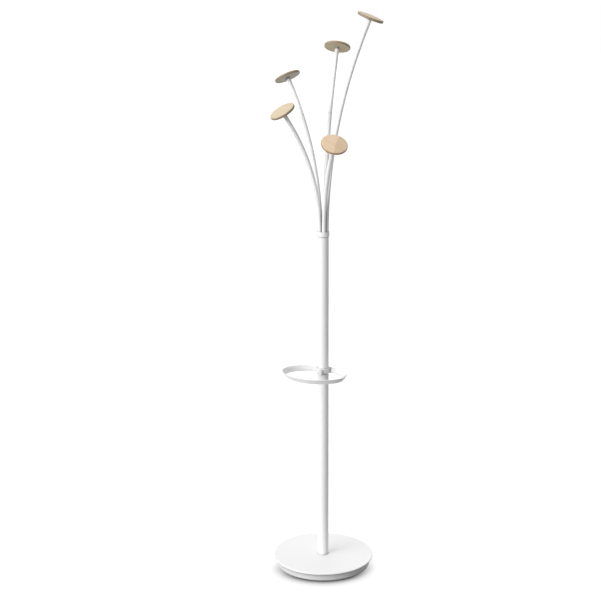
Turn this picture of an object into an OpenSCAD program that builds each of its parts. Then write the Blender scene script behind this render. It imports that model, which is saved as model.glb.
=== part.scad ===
// Standing coat rack: a weighted round base, a round column, five bent arms that each end in a
// wooden disc, and an umbrella ring that slides and turns on the column.
// The origin lies on the floor, on the column's axis. +Z is up and +Y points to the back.

/* [Base] */
// Diameter of the round top plate
base_plate_d = 350; // [300:1:420]
// Thickness of the top plate
base_plate_t = 5; // [3:0.5:8]
// Rounding of the top plate's rim
base_plate_edge = 2; // [0.5:0.1:3]
// How far the skirt is set in from the plate's rim
skirt_setback = 10.5; // [4:0.5:20]
// Height of the skirt under the plate
skirt_h = 24; // [22:0.5:45]
// Wall of the skirt
skirt_wall = 2.5; // [1.5:0.1:5]
// Thickness of the rubber mat that the stand rests on
mat_t = 2; // [1:0.1:4]
// How far the mat is set in from the skirt's outside
mat_setback = 1; // [0.5:0.1:4]
// Thickness of the cover that closes the base from below
cover_t = 2; // [1:0.1:2.5]
// Diameter of the iron weight in the base
ballast_d = 260; // [120:1:270]
// Thickness of the iron weight in the base
ballast_t = 8; // [6:0.5:10]
// Diameter of the base bolt
base_bolt_d = 12; // [8:0.5:14]
// Width of the base bolt's head across flats
base_bolt_flats = 19; // [17:0.5:24]
// Height of the base bolt's head
base_bolt_head_h = 6; // [4:0.1:6.5]
// Diameter of the washer under the base bolt
washer_d = 44; // [32:1:60]
// Thickness of the washer
washer_t = 2.5; // [1:0.1:2.5]

/* [Column] */
// Outer diameter of the column
column_d = 38; // [34:0.5:50]
// Wall of the column
column_wall = 2; // [1.5:0.1:3]
// Length of the column above the base plate
column_l = 1153; // [800:1:1400]
// Length of the threaded plug in the column's foot
foot_plug_l = 40; // [30:1:80]
// Length of base bolt that is screwed into the foot plug
bolt_grip = 24; // [12:1:24]

/* [Crown] */
// Outer diameter of the arm tubes
arm_d = 14; // [10:0.5:14]
// Wall of the arm tubes
arm_wall = 1.5; // [1:0.1:2]
// Height of the collar round the column's top
collar_h = 16; // [13:0.5:40]
// Wall of the collar
collar_wall = 2; // [1:0.1:4]
// How far the collar reaches down over the column
collar_overlap = 9; // [8:0.5:10]
// Bevel of the collar's lower edge
collar_bevel = 1.5; // [0.2:0.1:2]
// Thickness of the hub's plate that carries the arms
hub_plate_t = 3; // [2:0.5:4]
// Length of the hub's spigot in the column
hub_spigot_l = 50; // [20:1:100]
// Bore of the hub's spigot
hub_bore_d = 14; // [8:0.5:20]
// Diameter of the crown screws
crown_screw_d = 5; // [4:0.5:6]
// Width of the crown screws' sockets across flats
crown_screw_key = 2.5; // [1.5:0.5:2.5]
// Depth of the crown screws' sockets
crown_screw_key_depth = 3; // [1:0.5:5]

/* [Arms] */
// Height of each arm's tip above the collar's top
arm_rise = [698, 596, 502, 403, 302]; // [250:1:900]
// Distance of each arm's tip from the column's axis
arm_reach = [153, 163, 148, 148, 124]; // [60:1:220]
// Straight length at the end of each arm's bend
arm_straight = [20, 70, 35, 55, 25]; // [20:1:90]
// Direction in which each arm leans, in degrees about the column
arm_turn = [-12, 74, 143, 209, 287]; // [-20:1:340]
// Turn of the bundle of arms about the column
bundle_turn = -8; // [-12:1:4]

/* [Discs] */
// Diameter of the wooden discs
disc_d = 88; // [50:1:120]
// Thickness of the wooden discs
disc_t = 9; // [8:0.5:20]
// Rounding of the wooden discs' edges
disc_edge = 3; // [1:0.5:6]
// Diameter of the studs that hold the discs
stud_d = 6; // [4:0.5:7]
// Depth of each stud in its disc
stud_depth = 6; // [3:0.5:6.5]
// Length of each stud in its arm
stud_grip = 12; // [8:1:14]
// Length of the threaded plug in each arm's tip
end_plug_l = 16; // [16:1:20]

/* [Umbrella ring] */
// Height of the umbrella ring's middle above the base plate
ring_height = 677.5; // [200:0.5:1000]
// Width of the oval ring between the middles of its wall, at its lower edge
ring_w = 208; // [180:1:260]
// Depth of the oval ring between the middles of its wall, at its lower edge
ring_depth = 150; // [134:1:158]
// Radius of the ring's two ends at its lower edge
ring_end_r = 53; // [40:1:62]
// Height of the ring's band
ring_band_h = 18; // [12:0.5:18]
// How far the band leans out from its lower to its upper edge
ring_flare = 10.5; // [0:0.5:12]
// Wall of the ring's band
ring_wall = 3; // [2:0.1:4]
// Distance from the column's axis to the ring's middle
ring_offset = 69; // [68:1:74]
// Turn of the ring about the column
ring_turn = -26; // [-180:1:180]

/* [Clamp] */
// Height of the clamp collar
clamp_h = 18; // [18:0.5:30]
// Wall of the clamp collar
clamp_wall = 3; // [2:0.1:5]
// Wall of the nylon liner between clamp and column
liner_wall = 1; // [0.6:0.1:3]
// Height of the liner's rim above and below the clamp
liner_rim = 1; // [0.5:0.1:3]
// Diameter of the boss for the clamp screw
boss_d = 12; // [10:0.5:14]
// Length of the boss for the clamp screw
boss_l = 10; // [3:0.5:12]
// Turn of the clamp screw from the ring's middle
clamp_screw_turn = 10; // [-40:1:40]
// Diameter of the clamp screw
clamp_screw_d = 6; // [4:0.5:8]
// Diameter of the clamp knob
knob_d = 17; // [14:0.5:24]
// Length of the clamp knob
knob_l = 15; // [8:0.5:20]
// Rounding of the clamp knob's edge
knob_edge = 1.5; // [0.5:0.1:3]
// Number of grip flutes round the knob
knob_flutes = 12; // [6:1:16]
// Diameter of the cutter of each grip flute
knob_flute_d = 2.4; // [1:0.1:3]
// Depth of the clamp screw in its knob
knob_grip = 7; // [3:0.5:7.5]
// Gap between boss and knob when the screw is tight
knob_gap = 1; // [0.5:0.1:3]

/* [Hidden] */
$fn = 96;

// clearances
fit_gap = 0.05;   // running or push fit, on the radius
seat_gap = 0.3;   // between pieces that only lie side by side
hole_gap = 0.5;   // bolt in a plain hole, on the radius
edge_land = 0.1;  // flat that a rounded edge leaves of half a piece's height
thread_clear = 1; // space beyond a screw's tip
eps = 0.01;       // overlap of cutters

// base, from the floor up
cover_z = mat_t;
skirt_z = mat_t;
plate_z = skirt_z + skirt_h;
plate_top = plate_z + base_plate_t;
skirt_r = base_plate_d / 2 - skirt_setback;
skirt_bore_r = skirt_r - skirt_wall;
ballast_z = plate_z - ballast_t;
washer_z = ballast_z - washer_t;
bolt_r = base_bolt_d / 2;
plate_edge = min(base_plate_edge, base_plate_t / 2 - edge_land);

// column and crown
column_r = column_d / 2;
column_bore_r = column_r - column_wall;
column_top = plate_top + column_l;
collar_z = column_top - collar_overlap;
collar_top = collar_z + collar_h;
collar_edge = min(collar_bevel, collar_wall - edge_land);
arm_r = arm_d / 2;
arm_count = len(arm_rise);
arm_spacing = 360 / arm_count;
bundle_r = (arm_d + seat_gap) / 2 / sin(arm_spacing / 2);
crown_bore_r = max(bundle_r + arm_r, column_r) + seat_gap;
crown_r = crown_bore_r + collar_wall;
hub_plate_r = crown_bore_r - fit_gap;
arm_z = column_top + hub_plate_t;
crown_screw_r = crown_screw_d / 2;
crown_screw_z = column_top - collar_overlap / 2;
crown_screw_turns = [90, 210, 330];

// arms and discs: each arm rises straight out of the collar, bends on one arc and ends straight
end_bore_r = arm_r - arm_wall;
disc_r = disc_d / 2;
disc_round = min(disc_edge, disc_t / 2 - edge_land);
function arm_lean(i) = arm_reach[i] - bundle_r;
function arm_h(i) = arm_rise[i] + collar_top - arm_z;
function arm_tilt(i) = 2 * atan(arm_lean(i) / (arm_h(i) + arm_straight[i]));
function arm_bend_r(i) = (arm_h(i) - arm_straight[i] * cos(arm_tilt(i))) / sin(arm_tilt(i));

// umbrella ring: an oval of four arcs, two flat ones and two ends, that meet where their
// radii lie in one line
ring_z = plate_top + ring_height;
ring_wall_r = ring_wall / 2;
ring_lean_h = ring_band_h - ring_wall;
ring_lean = atan2(ring_flare, ring_lean_h);
ring_reach = ring_flare + ring_wall;
ring_half_w = ring_w / 2;
ring_half_d = ring_depth / 2;
ring_end_x = ring_half_w - ring_end_r;
ring_flat_r = (pow(ring_end_x, 2) + pow(ring_half_d, 2) - pow(ring_end_r, 2))
    / (2 * (ring_half_d - ring_end_r));
ring_flat_y = ring_flat_r - ring_half_d;
ring_flat_angle = atan2(ring_end_x, ring_flat_y);
ring_meet_x = ring_flat_r * sin(ring_flat_angle);
ring_meet_y = ring_flat_r * cos(ring_flat_angle) - ring_flat_y;

// clamp: liner on the column, collar on the liner, screw and knob on the side of the ring's middle
liner_bore_r = column_r + fit_gap;
liner_r = liner_bore_r + liner_wall;
clamp_bore_r = liner_r + fit_gap;
clamp_r = clamp_bore_r + clamp_wall;
boss_end = clamp_r + boss_l;
boss_seat = boss_d / 2;
clamp_screw_r = clamp_screw_d / 2;
knob_start = boss_end + knob_gap;
knob_r = knob_d / 2;
knob_round = min(knob_edge, knob_l / 2 - edge_land);

// colours
WHITE = "whitesmoke";
BEECH = "burlywood";
STEEL = "silver";
IRON = "dimgray";
RUBBER = "#303030";
PLASTIC = "lightgray";

// ---- shapes that repeat ----

// Disc from z = 0 up, with both of its edges rounded
module rounded_disc(r, t, edge) {
    rotate_extrude() {
        square([r - edge, t]);
        translate([0, edge])
            square([r, t - 2 * edge]);
        for (y = [edge, t - edge])
            translate([r - edge, y])
                circle(r = edge);
    }
}

// Sweeps a section round the origin in the XY plane, from one angle to another
module bend(bend_r, from, to) {
    rotate([0, 0, from])
        rotate_extrude(angle = to - from)
            translate([bend_r, 0])
                children();
}

// Bar along the line of arm i, from the hub's plate to the tip
module arm_bar(i, r) {
    at_arm_tip(i)
        translate([0, 0, -arm_straight[i]]) {
            cylinder(r = r, h = arm_straight[i]);
            translate([arm_bend_r(i), 0, 0])
                rotate([90, 0, 0])
                    bend(arm_bend_r(i), 180, 180 + arm_tilt(i))
                        circle(r = r);
        }
}

// Place of arm i's foot on the hub's plate, with +X in the direction in which it leans
module at_arm_root(i) {
    rotate([0, 0, bundle_turn + i * arm_spacing])
        translate([bundle_r, 0, arm_z])
            rotate([0, 0, arm_turn[i] - bundle_turn - i * arm_spacing])
                children();
}

// Place of arm i's tip, with +Z along the tube and out of it
module at_arm_tip(i) {
    at_arm_root(i)
        translate([arm_lean(i), 0, arm_h(i)])
            rotate([0, arm_tilt(i), 0])
                children();
}

// Place of the clamp: on the column's axis, with -Y towards the ring's middle
module at_clamp() {
    translate([0, 0, ring_z])
        rotate([0, 0, ring_turn])
            children();
}

// Place of the clamp screw: +Z along its axis and out towards the knob
module at_clamp_screw() {
    at_clamp()
        rotate([90, 0, clamp_screw_turn])
            children();
}

// Section of the ring's band, with X outwards and its lower edge's middle over the origin
module band_section() {
    translate([0, ring_wall_r - ring_band_h / 2])
        rotate(-ring_lean) {
            circle(r = ring_wall_r);
            translate([-ring_wall_r, 0])
                square([ring_wall, norm([ring_flare, ring_lean_h])]);
            translate([0, norm([ring_flare, ring_lean_h])])
                circle(r = ring_wall_r);
        }
}

// Quarter of the oval band: half a flat arc and half an end, cut on the oval's middle lines
module oval_quarter() {
    intersection() {
        translate([ring_meet_x, ring_meet_y, 0])
            rotate([0, 0, -ring_flat_angle]) {
                translate([0, -ring_flat_r, 0])
                    bend(ring_flat_r, 90, 91 + ring_flat_angle)
                        band_section();
                translate([0, -ring_end_r, 0])
                    mirror([1, 0, 0])
                        bend(ring_end_r, 90, 181 - ring_flat_angle)
                            band_section();
            }
        translate([0, 0, -ring_band_h])
            cube([ring_half_w + ring_reach, ring_half_d + ring_reach, 2 * ring_band_h]);
    }
}

// Bores for the crown screws, out from the column's axis
module crown_screw_bores() {
    for (turn = crown_screw_turns)
        translate([0, 0, crown_screw_z])
            rotate([0, 90, turn])
                cylinder(r = crown_screw_r + fit_gap, h = crown_r + eps);
}

// ---- base ----

module base_floor_mat() {
    color(RUBBER)
        cylinder(r = skirt_r - mat_setback, h = mat_t);
}

module base_bottom_cover() {
    color(PLASTIC)
        translate([0, 0, cover_z])
            cylinder(r = skirt_bore_r - seat_gap, h = cover_t);
}

module base_skirt() {
    color(WHITE)
        translate([0, 0, skirt_z])
            difference() {
                cylinder(r = skirt_r, h = skirt_h);
                translate([0, 0, -eps])
                    cylinder(r = skirt_bore_r, h = skirt_h + 2 * eps);
            }
}

module base_plate() {
    color(WHITE)
        translate([0, 0, plate_z])
            difference() {
                rounded_disc(base_plate_d / 2, base_plate_t, plate_edge);
                translate([0, 0, -eps])
                    cylinder(r = bolt_r + hole_gap, h = base_plate_t + 2 * eps);
            }
}

module ballast_weight() {
    color(IRON)
        translate([0, 0, ballast_z])
            difference() {
                cylinder(r = ballast_d / 2, h = ballast_t);
                translate([0, 0, -eps])
                    cylinder(r = bolt_r + hole_gap, h = ballast_t + 2 * eps);
            }
}

module base_washer() {
    color(STEEL)
        translate([0, 0, washer_z])
            difference() {
                cylinder(r = washer_d / 2, h = washer_t);
                translate([0, 0, -eps])
                    cylinder(r = bolt_r + hole_gap, h = washer_t + 2 * eps);
            }
}

module base_bolt() {
    color(STEEL) {
        translate([0, 0, washer_z - base_bolt_head_h])
            cylinder(r = base_bolt_flats / 2 / cos(30), h = base_bolt_head_h, $fn = 6);
        translate([0, 0, washer_z])
            cylinder(r = bolt_r, h = plate_top + bolt_grip - washer_z);
    }
}

// ---- column ----

module column_foot_plug() {
    color(STEEL)
        translate([0, 0, plate_top])
            difference() {
                cylinder(r = column_bore_r - fit_gap, h = foot_plug_l);
                translate([0, 0, -eps])
                    cylinder(r = bolt_r + fit_gap, h = bolt_grip + thread_clear);
            }
}

module column_tube() {
    color(WHITE)
        difference() {
            translate([0, 0, plate_top])
                cylinder(r = column_r, h = column_l);
            translate([0, 0, plate_top - eps])
                cylinder(r = column_bore_r, h = column_l + 2 * eps);
            crown_screw_bores();
        }
}

// ---- crown ----

module crown_collar() {
    color(WHITE)
        difference() {
            translate([0, 0, collar_z])
                rotate_extrude()
                    polygon([[0, 0], [crown_r - collar_edge, 0], [crown_r, collar_edge],
                        [crown_r, collar_h], [0, collar_h]]);
            translate([0, 0, collar_z - eps])
                cylinder(r = column_r + fit_gap, h = collar_h);
            translate([0, 0, column_top])
                cylinder(r = crown_bore_r, h = collar_h);
            crown_screw_bores();
        }
}

module crown_hub() {
    color(STEEL)
        difference() {
            union() {
                translate([0, 0, column_top])
                    cylinder(r = hub_plate_r, h = hub_plate_t);
                translate([0, 0, column_top - hub_spigot_l])
                    cylinder(r = column_bore_r - fit_gap, h = hub_spigot_l + eps);
            }
            translate([0, 0, column_top - hub_spigot_l - eps])
                cylinder(r = hub_bore_d / 2, h = hub_spigot_l);
            crown_screw_bores();
        }
}

module crown_screws() {
    color(STEEL)
        for (turn = crown_screw_turns)
            translate([0, 0, crown_screw_z])
                rotate([0, 90, turn])
                    difference() {
                        translate([0, 0, hub_bore_d / 2])
                            cylinder(r = crown_screw_r, h = crown_r - seat_gap - hub_bore_d / 2);
                        translate([0, 0, crown_r - seat_gap - crown_screw_key_depth])
                            cylinder(r = crown_screw_key / 2 / cos(30), h = crown_r, $fn = 6);
                    }
}

// ---- arms and discs ----

module arm(i) {
    color(WHITE)
        difference() {
            arm_bar(i, arm_r);
            arm_bar(i, end_bore_r);
        }
}

module disc(i) {
    color(BEECH)
        at_arm_tip(i)
            difference() {
                rounded_disc(disc_r, disc_t, disc_round);
                translate([0, 0, -eps])
                    cylinder(r = stud_d / 2 + fit_gap, h = stud_depth + eps);
            }
}

module arm_end_plugs() {
    color(STEEL)
        for (i = [0 : arm_count - 1])
            at_arm_tip(i)
                translate([0, 0, -end_plug_l])
                    difference() {
                        cylinder(r = end_bore_r - fit_gap, h = end_plug_l);
                        translate([0, 0, end_plug_l - stud_grip])
                            cylinder(r = stud_d / 2 + fit_gap, h = stud_grip + eps);
                    }
}

module disc_studs() {
    color(STEEL)
        for (i = [0 : arm_count - 1])
            at_arm_tip(i)
                translate([0, 0, -stud_grip])
                    cylinder(r = stud_d / 2, h = stud_grip + stud_depth);
}

// ---- clamp and umbrella ring ----

module clamp_liner() {
    color(PLASTIC)
        translate([0, 0, ring_z - clamp_h / 2 - liner_rim])
            difference() {
                cylinder(r = liner_r, h = clamp_h + 2 * liner_rim);
                translate([0, 0, -eps])
                    cylinder(r = liner_bore_r, h = clamp_h + 2 * liner_rim + 2 * eps);
            }
}

module ring_collar() {
    color(WHITE)
        difference() {
            at_clamp()
                cylinder(r = clamp_r, h = clamp_h, center = true);
            at_clamp()
                cylinder(r = clamp_bore_r, h = clamp_h + 2 * eps, center = true);
            at_clamp_screw()
                cylinder(r = clamp_screw_r + fit_gap, h = clamp_r + eps);
        }
}

module clamp_boss() {
    color(WHITE)
        difference() {
            at_clamp_screw()
                cylinder(r = boss_seat, h = boss_end);
            at_clamp()
                cylinder(r = clamp_r, h = clamp_h + boss_d, center = true);
            at_clamp_screw()
                cylinder(r = clamp_screw_r + fit_gap, h = boss_end + eps);
        }
}

module umbrella_ring() {
    color(WHITE)
        at_clamp()
            difference() {
                translate([0, -ring_offset, 0])
                    for (x = [0, 1], y = [0, 1])
                        mirror([x, 0, 0])
                            mirror([0, y, 0])
                                oval_quarter();
                cylinder(r = clamp_r, h = clamp_h + ring_band_h, center = true);
            }
}

module clamp_screw() {
    color(STEEL)
        at_clamp_screw()
            translate([0, 0, liner_r + seat_gap])
                cylinder(r = clamp_screw_r, h = knob_start + knob_grip - liner_r - seat_gap);
}

module clamp_knob() {
    color(PLASTIC)
        at_clamp_screw()
            translate([0, 0, knob_start])
                difference() {
                    rounded_disc(knob_r, knob_l, knob_round);
                    translate([0, 0, -eps])
                        cylinder(r = clamp_screw_r + fit_gap, h = knob_grip + eps);
                    for (i = [1 : knob_flutes])
                        rotate([0, 0, i * 360 / knob_flutes])
                            translate([knob_r + knob_flute_d / 4, 0, -eps])
                                cylinder(r = knob_flute_d / 2, h = knob_l + 2 * eps);
                }
}

base_floor_mat();
base_bottom_cover();
base_skirt();
base_plate();
ballast_weight();
base_washer();
base_bolt();
column_foot_plug();
column_tube();
crown_collar();
crown_hub();
crown_screws();
arm(0);  // arm_1
arm(1);  // arm_2
arm(2);  // arm_3
arm(3);  // arm_4
arm(4);  // arm_5
disc(0);  // disc_1
disc(1);  // disc_2
disc(2);  // disc_3
disc(3);  // disc_4
disc(4);  // disc_5
arm_end_plugs();
disc_studs();
clamp_liner();
ring_collar();
clamp_boss();
umbrella_ring();
clamp_screw();
clamp_knob();
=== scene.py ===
"""Looks of the standing coat rack: materials on the CAD nodes, floor, light and camera.
Lengths are in metres, colours are linear, and angles are in degrees where they are written."""
import math

import bpy
from mathutils import Matrix, Vector

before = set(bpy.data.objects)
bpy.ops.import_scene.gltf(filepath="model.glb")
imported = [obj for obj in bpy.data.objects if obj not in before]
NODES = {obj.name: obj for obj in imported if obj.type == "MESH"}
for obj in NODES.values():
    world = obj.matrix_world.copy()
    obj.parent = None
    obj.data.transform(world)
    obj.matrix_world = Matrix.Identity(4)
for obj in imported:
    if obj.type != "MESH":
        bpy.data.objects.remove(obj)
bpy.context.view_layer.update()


# ---- node helpers ----

WHITE = (1, 1, 1, 1)
MIX_FACTOR, MIX_A, MIX_B, MIX_COLOUR = 0, 6, 7, 2   # a Mix node's sockets when it mixes colours

# painted crease shade: colours are darkened where shadow falls in gaps and under what juts out
# above; how far a coat looks for what closes it in, and how fast it darkens
COAT_CREASE, PLASTIC_CREASE = 0.008, 0.005
CREASE_LIFT = 0.8      # added to the normal's Z, so that what juts out above counts most
CREASE_OPEN = 0.86     # what an open upright surface sees of the lifted half sphere
CREASE_POWER = 1.6
CREASE_SAMPLES = 8


class Tree:
    """The node tree of a material or a world, with short calls for its nodes and links."""

    def __init__(self, owner, output="ShaderNodeOutputMaterial"):
        owner.use_nodes = True
        self.owner = owner
        self.nodes = owner.node_tree.nodes
        self.links = owner.node_tree.links
        self.nodes.clear()
        self.output = self.nodes.new(output)

    def put(self, node, key, value):
        """Links a node's input to a socket, or sets it to a plain value."""
        if isinstance(value, bpy.types.NodeSocket):
            self.links.new(value, node.inputs[key])
        else:
            node.inputs[key].default_value = value

    def add(self, kind, inputs=None, **settings):
        """A new node with these settings and inputs."""
        node = self.nodes.new(kind)
        for key, value in settings.items():
            setattr(node, key, value)
        for key, value in (inputs or {}).items():
            self.put(node, key, value)
        return node

    def surface(self, socket):
        self.links.new(socket, self.output.inputs["Surface"])

    def principled(self, colour, roughness, normal, metallic=0.0):
        """Ends the tree in a Principled shader, and returns the finished material."""
        shader = self.add(
            "ShaderNodeBsdfPrincipled",
            {"Base Color": colour, "Metallic": metallic, "Roughness": roughness,
             "Normal": normal},
        )
        self.surface(shader.outputs["BSDF"])
        return self.owner

    def coords(self, matrix=None, scale=(1, 1, 1)):
        """Object coordinates, seen from the place that the matrix gives, and scaled."""
        source = self.add("ShaderNodeTexCoord").outputs["Object"]
        if matrix is not None:
            back = matrix.inverted()
            source = self.add(
                "ShaderNodeMapping",
                {"Vector": source, "Location": back.to_translation(),
                 "Rotation": back.to_euler("XYZ")},
                vector_type="POINT",
            ).outputs["Vector"]
        return self.add(
            "ShaderNodeMapping", {"Vector": source, "Scale": scale}, vector_type="POINT"
        ).outputs["Vector"]

    def axis(self, vector, name):
        """One axis of a vector: X, Y or Z."""
        return self.add("ShaderNodeSeparateXYZ", {"Vector": vector}).outputs[name]

    def radius(self, matrix):
        """Distance from the Z axis of the place that the matrix gives."""
        flat = self.coords(matrix, (1, 1, 0))
        return self.add(
            "ShaderNodeVectorMath", {0: flat}, operation="LENGTH").outputs["Value"]

    def noise(self, vector, scale, detail=2.0, roughness=0.5, distortion=0.0):
        return self.add(
            "ShaderNodeTexNoise",
            {"Vector": vector, "Scale": scale, "Detail": detail, "Roughness": roughness,
             "Distortion": distortion},
        ).outputs["Fac"]

    def span(self, value, low, high, to_low=0.0, to_high=1.0):
        """The value, stretched from low..high to to_low..to_high and held inside that."""
        return self.add(
            "ShaderNodeMapRange",
            {"Value": value, "From Min": low, "From Max": high,
             "To Min": to_low, "To Max": to_high},
        ).outputs["Result"]

    def mix(self, factor, a, b, blend="MIX"):
        """Two colours mixed by the factor. A colour is a socket, or three numbers."""
        node = self.add(
            "ShaderNodeMix", {MIX_FACTOR: factor}, data_type="RGBA", blend_type=blend)
        for key, colour in ((MIX_A, a), (MIX_B, b)):
            is_socket = isinstance(colour, bpy.types.NodeSocket)
            self.put(node, key, colour if is_socket else (*colour, 1.0))
        return node.outputs[MIX_COLOUR]

    def math(self, operation, *values):
        return self.add(
            "ShaderNodeMath", dict(enumerate(values)), operation=operation).outputs[0]

    def openness(self, reach, samples, **inputs):
        """How open a surface is to the room: 1 in the open, and less near other surfaces."""
        inputs["Distance"] = reach
        return self.add(
            "ShaderNodeAmbientOcclusion", inputs, samples=samples).outputs["AO"]

    def painted_crease_shade(self, colour, reach):
        """The colour with painted shade: darkened in narrow gaps and under what juts out above,
        where shadow falls.
        """
        normal = self.add("ShaderNodeNewGeometry").outputs["Normal"]
        lifted = self.add(
            "ShaderNodeVectorMath", {0: normal, 1: (0.0, 0.0, CREASE_LIFT)}, operation="ADD"
        ).outputs["Vector"]
        lifted = self.add(
            "ShaderNodeVectorMath", {0: lifted}, operation="NORMALIZE").outputs["Vector"]
        near = self.span(self.openness(reach, CREASE_SAMPLES, Normal=lifted), 0.0, CREASE_OPEN)
        return self.mix(1.0, colour, self.math("POWER", near, CREASE_POWER), "MULTIPLY")

    def bump(self, height, distance, strength):
        return self.add(
            "ShaderNodeBump", {"Height": height, "Distance": distance, "Strength": strength}
        ).outputs["Normal"]

    def seen_plainly(self):
        """1 for the camera and for what shows in gloss or through glass, 0 for other light."""
        path = self.add("ShaderNodeLightPath").outputs
        seen = self.math("MAXIMUM", path["Is Camera Ray"], path["Is Glossy Ray"])
        return self.math("MAXIMUM", seen, path["Is Transmission Ray"])


def material_tree(name):
    return Tree(bpy.data.materials.new(name))


def grey(value):
    return (value, value, value)


def toned(colour, factors):
    return [c * k for c, k in zip(colour, factors)]


def wear(node, material):
    """Gives a CAD node its finished material."""
    mesh = NODES[node].data
    mesh.materials.clear()
    mesh.materials.append(material)


# ---- coats, plastics, rubber and metals ----

def powder_coat(name, colour, roughness=0.42, fade=None):
    """Satin powder coat: a fine orange-peel skin, with faint unevenness in tone and gloss.
    fade = (low, high, factor): painted shade, the coat darkens from one height to the other by
    that factor."""
    t = material_tree(name)
    co = t.coords()
    cloud = t.noise(co, 9.0, detail=3.0, roughness=0.55)
    peel = t.noise(co, 900.0)
    soft = t.noise(co, 260.0, detail=1.0, roughness=0.4)
    shade = t.mix(t.span(cloud, 0.3, 0.7), toned(colour, grey(0.985)), colour)
    if fade is not None:
        low, high, factor = fade
        # painted shade: darker from one height to the other
        height = t.axis(co, "Z")
        shade = t.mix(t.span(height, low, high), shade, grey(factor), "MULTIPLY")
    # painted shade: the coat darkens in gaps and under collars and bosses
    shade = t.painted_crease_shade(shade, COAT_CREASE)
    skin = t.math("ADD", t.math("MULTIPLY", peel, 0.45), soft)
    gloss = t.span(cloud, 0.3, 0.7, roughness - 0.03, roughness + 0.03)
    return t.principled(shade, gloss, t.bump(skin, distance=0.00006, strength=0.8))


def rubber(name):
    """Dark floor rubber with a fine grit, and dust in patches."""
    t = material_tree(name)
    co = t.coords()
    grit = t.noise(co, 700.0, detail=3.0, roughness=0.6)
    dust = t.noise(co, 30.0, detail=3.0, roughness=0.6)
    shade = t.mix(t.span(dust, 0.4, 0.75), (0.035, 0.035, 0.036), (0.075, 0.073, 0.07))
    gloss = t.span(grit, 0.3, 0.7, 0.75, 0.92)
    return t.principled(shade, gloss, t.bump(grit, distance=0.0001, strength=0.7))


def zinc_steel(name, colour=(0.56, 0.56, 0.55)):
    """Plated or bare metal: a cloudy bloom over fine marks from the lathe."""
    t = material_tree(name)
    bloom = t.noise(t.coords(), 160.0, detail=4.0, roughness=0.6)
    turned = t.noise(t.coords(scale=(300.0, 300.0, 4000.0)), 1.0)
    shade = t.mix(t.span(bloom, 0.35, 0.7), toned(colour, grey(0.88)), colour)
    gloss = t.span(bloom, 0.3, 0.7, 0.28, 0.42)
    return t.principled(
        shade, gloss, t.bump(turned, distance=0.00002, strength=0.5), metallic=1.0)


def moulded(name, colour, roughness=0.45):
    """Moulded plastic with a fine spark-eroded grain."""
    t = material_tree(name)
    co = t.coords()
    grain = t.noise(co, 1800.0, roughness=0.55)
    cloud = t.noise(co, 60.0)
    shade = t.mix(t.span(cloud, 0.35, 0.7), toned(colour, grey(0.97)), colour)
    # painted shade: the plastic darkens in gaps and under what juts out above
    shade = t.painted_crease_shade(shade, PLASTIC_CREASE)
    gloss = t.span(grain, 0.3, 0.7, roughness - 0.05, roughness + 0.07)
    return t.principled(shade, gloss, t.bump(grain, distance=0.00004, strength=0.6))


white = powder_coat("powder_white", grey(0.86))
for node in ["base_plate", "column_tube", "crown_collar", "ring_collar", "clamp_boss",
             "arm_1", "arm_2", "arm_3", "arm_4", "arm_5"]:
    wear(node, white)
wear("umbrella_ring", powder_coat("powder_ring", grey(0.80)))
# painted shade: the skirt is a darker grey than the white plate, and darkens more towards the
# plate's overhanging rim, as if in its shadow
wear("base_skirt", powder_coat("powder_skirt", grey(0.70), fade=(0.010, 0.026, 0.62)))
steel = zinc_steel("fastener_steel")
for node in ["base_washer", "base_bolt", "column_foot_plug", "crown_hub", "crown_screws",
             "arm_end_plugs", "disc_studs", "clamp_screw"]:
    wear(node, steel)
wear("base_floor_mat", rubber("floor_rubber"))
wear("base_bottom_cover", moulded("cover_board", grey(0.25), 0.7))
wear("ballast_weight", zinc_steel("ballast_iron", (0.18, 0.175, 0.17)))
wear("clamp_liner", moulded("liner_nylon", (0.80, 0.80, 0.77), 0.4))
wear("clamp_knob", moulded("knob_plastic", grey(0.84)))


# ---- beech discs ----

# the wood's colours before a board's own tint
BAND_DARK, BAND_LIGHT = (0.62, 0.46, 0.31), (0.69, 0.52, 0.355)
FIBRE, PORE, PATCH = (0.73, 0.58, 0.42), (0.42, 0.27, 0.16), (0.56, 0.40, 0.26)
# what multiplies them in the painted shadow on disc 5, and on the rim, for end grain and
# painted shade
PAINTED_SHADOW_TONE, END_GRAIN_AND_SHADE = (0.815, 0.81, 0.775), (0.54, 0.50, 0.46)
PAINTED_SHADOW_EDGE, FRAY = 0.003, 0.002       # width of the painted shadow's edge, and how far fibres fray it
RIM_FROM, RIM_TO = 0.0420, 0.0432     # radii between which the darker rim sets in
TURN_OVER = 0.001                     # half of the height in which top turns to underside
WOOD_STEP = (0.37, 0.21)              # from one disc's place in the wood's pattern to the next


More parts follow.
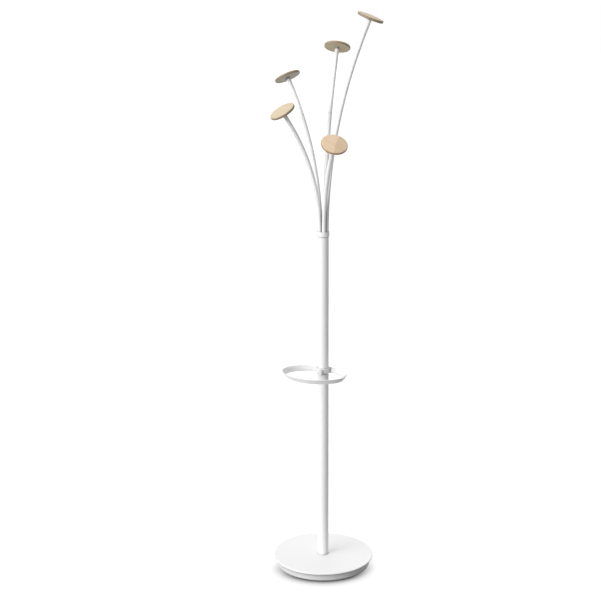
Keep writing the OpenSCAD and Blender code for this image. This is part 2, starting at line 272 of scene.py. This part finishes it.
def beech(name, matrix, seed, tint, under, shadow_circle):
    """Pale lacquered beech: long fibres along the disc's own X, growth bands, the short dark
    flecks that beech shows, and a darker rim, partly end grain and partly painted shade. The
    underside is darkened and toned by `under`: painted shade.
    The last argument, (x, y, radius) or None, gives a painted shadow: a darker zone inside that
    circle."""
    t = material_tree(name)
    step_x, step_y = WOOD_STEP
    place = matrix @ Matrix.Translation((seed * step_x, seed * step_y, 0.0))

    def drawn_out(along, across, **settings):
        """Noise that is drawn out along the fibres."""
        return t.noise(t.coords(place, (along, across, across)), 1.0, **settings)

    bands = drawn_out(6.0, 60.0, detail=3.0, roughness=0.55, distortion=0.6)
    fibre = drawn_out(25.0, 900.0, detail=3.0, roughness=0.6)
    pores = drawn_out(160.0, 2200.0, detail=1.0)
    cloud = t.noise(t.coords(place), 18.0)

    base = t.mix(t.span(bands, 0.3, 0.72), toned(BAND_DARK, tint), toned(BAND_LIGHT, tint))
    for pattern, low, high, share, colour in [
        (fibre, 0.35, 0.7, 0.35, FIBRE),
        (pores, 0.62, 0.72, 0.35, PORE),
        (cloud, 0.4, 0.7, 0.10, PATCH),
    ]:
        amount = t.math("MULTIPLY", t.span(pattern, low, high), share)
        base = t.mix(amount, base, toned(colour, tint))
    # painted shadow: darker inside the circle, where a disc above would shade this one
    if shadow_circle is not None:
        x, y, reach = shadow_circle
        away = t.radius(matrix @ Matrix.Translation((x, y, 0)))
        away = t.math("ADD", away, t.math("MULTIPLY", fibre, FRAY))
        inside = t.span(away, reach, reach + PAINTED_SHADOW_EDGE, 1.0, 0.0)
        base = t.mix(inside, base, PAINTED_SHADOW_TONE, "MULTIPLY")
    # painted shade: the underside, turned away from the lamps above, is darkened and toned
    below = t.span(t.axis(t.coords(matrix), "Z"), TURN_OVER, -TURN_OVER)
    base = t.mix(below, base, under, "MULTIPLY")
    # a darker rim: partly end grain, partly painted shade for the edge
    base = t.mix(t.span(t.radius(matrix), RIM_FROM, RIM_TO), base, END_GRAIN_AND_SHADE, "MULTIPLY")

    gloss = t.span(fibre, 0.3, 0.7, 0.5, 0.62)
    grain = t.math("SUBTRACT", t.math("MULTIPLY", fibre, 0.5), t.span(pores, 0.6, 0.75))
    return t.principled(base, gloss, t.bump(grain, distance=0.00008, strength=0.6))


def disc_place(node):
    """Matrix of a disc: its middle, with Z along its axis and up."""
    mesh = NODES[node].data
    middle = sum((v.co for v in mesh.vertices), Vector()) / len(mesh.vertices)
    normal = max(mesh.polygons, key=lambda p: p.area).normal.copy()
    if normal.z < 0:
        normal.negate()
    x = normal.cross(Vector((0, 0, 1))).normalized()
    y = normal.cross(x)
    place = Matrix((x, y, normal)).transposed().to_4x4()
    place.translation = middle
    return place


# each disc is cut from its own board: the turn of its grain, the board's tint, the painted
# shade that multiplies that on the underside, and the circle of the painted shadow
BOARDS = {
    "disc_1": (35, (0.86, 0.93, 0.99), (0.85, 0.88, 0.90), None),
    "disc_2": (-20, (0.93, 0.97, 0.97), (0.80, 0.865, 0.815), None),
    "disc_3": (60, (0.93, 0.97, 0.97), (0.715, 0.825, 0.96), None),
    "disc_4": (10, (0.83, 0.905, 0.895), (0.85, 0.88, 0.90), None),
    "disc_5": (-50, (1.05, 1.034, 1.0), (0.85, 0.88, 0.90), (-0.160, -0.0685, 0.170)),
}
for number, (disc, (turn, tint, under, shadow_circle)) in enumerate(BOARDS.items(), 1):
    place = disc_place(disc) @ Matrix.Rotation(math.radians(turn), 4, "Z")
    wear(disc, beech(f"disc_beech_{number}", place, number, tint, under, shadow_circle))


# ---- floor and world ----

FLOOR_SIZE = 60.0
FLOOR_SEEN, FLOOR_BOUNCE = grey(0.20), grey(0.38)   # its albedo for the camera and for light
FLOOR_GLOW = 0.95             # with the lamps' light on it, the open floor is white
CONTACT_REACH = 0.30          # how far the floor looks for what stands on it
CONTACT_SAMPLES = 16
SHUT, OPEN = 0.40, 1.02       # openness at which the glow is gone, and at which it is full
# the contact shadow is deepest at the front: its share grows from one Y to the other
BACK_Y, FRONT_Y, BACK_SHARE = -0.02, -0.14, 0.15
ROOM_LIGHT, BACKDROP = 0.15, 1.0   # the world's strength as light, and as it is seen


def floor_white():
    """A floor that glows white where it is open to the room, so what stands on it keeps its
    contact shadow next to the shadow that the lamps cast."""
    t = material_tree("floor_white")
    camera_ray = t.add("ShaderNodeLightPath").outputs["Is Camera Ray"]
    tone = t.mix(camera_ray, FLOOR_BOUNCE, FLOOR_SEEN)
    lit = t.add("ShaderNodeBsdfDiffuse", {"Color": tone}).outputs[0]
    clear = t.span(t.openness(CONTACT_REACH, CONTACT_SAMPLES), SHUT, OPEN)
    share = t.span(t.axis(t.coords(), "Y"), BACK_Y, FRONT_Y, BACK_SHARE, 1.0)
    shadow = t.math("MULTIPLY", t.math("SUBTRACT", 1.0, clear), share)
    strength = t.math("MULTIPLY", t.math("SUBTRACT", 1.0, shadow), FLOOR_GLOW)
    strength = t.math("MULTIPLY", t.seen_plainly(), strength)
    glow = t.add("ShaderNodeEmission", {"Color": WHITE, "Strength": strength}).outputs[0]
    t.surface(t.add("ShaderNodeAddShader", {0: lit, 1: glow}).outputs[0])
    return t.owner


def studio():
    """A faint even light from all sides, in front of a white backdrop."""
    t = Tree(bpy.data.worlds.new("studio"), "ShaderNodeOutputWorld")
    light, backdrop = (
        t.add("ShaderNodeBackground", {"Color": WHITE, "Strength": strength}).outputs[0]
        for strength in (ROOM_LIGHT, BACKDROP))
    seen = t.seen_plainly()
    t.surface(t.add("ShaderNodeMixShader", {0: seen, 1: light, 2: backdrop}).outputs[0])
    return t.owner


half = FLOOR_SIZE / 2
corners = [(-half, -half, 0), (half, -half, 0), (half, half, 0), (-half, half, 0)]
floor_mesh = bpy.data.meshes.new("floor")
floor_mesh.from_pydata(corners, [], [(0, 1, 2, 3)])
floor_mesh.materials.append(floor_white())
floor = bpy.data.objects.new("floor", floor_mesh)
bpy.context.scene.collection.objects.link(floor)
bpy.context.scene.world = studio()


# ---- lamps ----

def sun(name, azimuth, elevation, strength, spread):
    """A soft distant lamp. It shines from the front at azimuth 0, and from the right at 90."""
    data = bpy.data.lights.new(name, "SUN")
    data.energy = strength
    data.angle = math.radians(spread)
    lamp = bpy.data.objects.new(name, data)
    a, e = math.radians(azimuth), math.radians(elevation)
    towards = Vector((math.sin(a) * math.cos(e), -math.cos(a) * math.cos(e), math.sin(e)))
    lamp.rotation_euler = towards.to_track_quat("Z", "Y").to_euler()
    bpy.context.scene.collection.objects.link(lamp)


sun("key", azimuth=-50, elevation=15, strength=1.25, spread=70)
sun("key_core", azimuth=-50, elevation=5, strength=1.50, spread=22)
sun("front", azimuth=-43, elevation=40, strength=0.95, spread=70)
sun("top_back_right", azimuth=135, elevation=68, strength=1.20, spread=60)
sun("top_back_left", azimuth=-135, elevation=68, strength=0.66, spread=60)


# ---- camera ----

IMAGE_WIDTH = 601
FOCAL_PX = 1350.0
SENSOR_WIDTH = 36.0            # in millimetres
FARTHEST = 200.0               # the camera sees the whole floor
CAMERA_PLACE = Vector((0.0, -4.447, 2.037))
PITCH, YAW, ROLL = (math.radians(d) for d in (13.68, -0.99, -0.22))

cam_data = bpy.data.cameras.new("camera")
cam_data.sensor_width = SENSOR_WIDTH
cam_data.sensor_fit = "HORIZONTAL"
cam_data.lens = FOCAL_PX / IMAGE_WIDTH * SENSOR_WIDTH
cam_data.clip_end = FARTHEST
cam = bpy.data.objects.new("camera", cam_data)

# the camera's own axes: level ones first, then turned by the roll
forward = Vector((math.sin(YAW) * math.cos(PITCH), math.cos(YAW) * math.cos(PITCH),
                  -math.sin(PITCH)))
level_right = Vector((math.cos(YAW), -math.sin(YAW), 0.0))
level_up = level_right.cross(forward)
right = math.cos(ROLL) * level_right + math.sin(ROLL) * level_up
up = math.cos(ROLL) * level_up - math.sin(ROLL) * level_right
pose = Matrix((right, up, -forward)).transposed().to_4x4()
pose.translation = CAMERA_PLACE
cam.matrix_world = pose
bpy.context.scene.collection.objects.link(cam)
bpy.context.scene.camera = cam
bpy.context.scene.view_settings.view_transform = "Standard"
